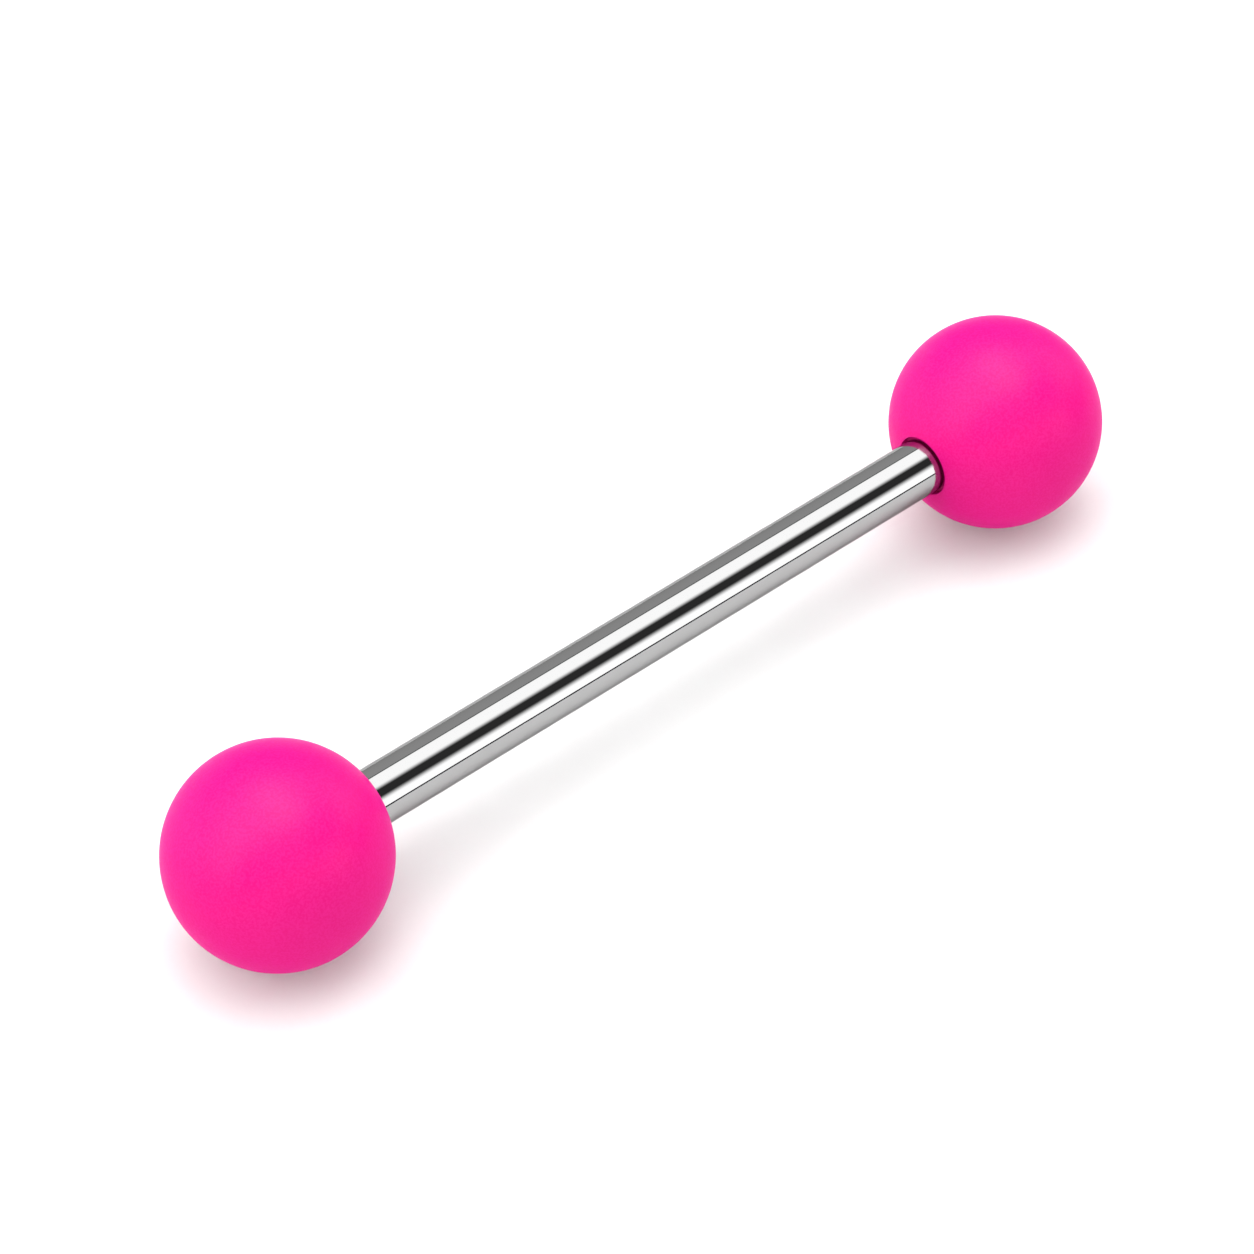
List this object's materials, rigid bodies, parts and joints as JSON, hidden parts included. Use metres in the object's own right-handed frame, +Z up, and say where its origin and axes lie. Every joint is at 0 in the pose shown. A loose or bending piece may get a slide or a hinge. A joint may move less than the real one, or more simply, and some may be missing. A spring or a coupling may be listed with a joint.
{
  "type": "tongue barbell",
  "caption": "Straight polished bar with a matte neon pink ball screwed onto each threaded end, worn through a tongue piercing.",
  "frame": {"origin": "on the surface that the barbell lies on, under the middle of the bar", "axes": "+X along the bar towards the right ball, +Z up from the surface"},
  "size_m": [0.0318, 0.006, 0.006],
  "materials": {
    "polished_steel": "mirror polished",
    "pink_ball": "matte, soft to the touch"
  },
  "bodies": {
    "bar": {"bar": "polished_steel"},
    "left_ball": {"left_ball": "pink_ball"},
    "right_ball": {"right_ball": "pink_ball"}
  },
  "joints": [
    {"name": "left_ball_unscrew", "type": "slide", "parent": "bar", "child": "left_ball", "axis": [-1, 0, 0], "range_m": [0, 0.02]},
    {"name": "right_ball_unscrew", "type": "slide", "parent": "bar", "child": "right_ball", "axis": [1, 0, 0], "range_m": [0, 0.02]}
  ]
}
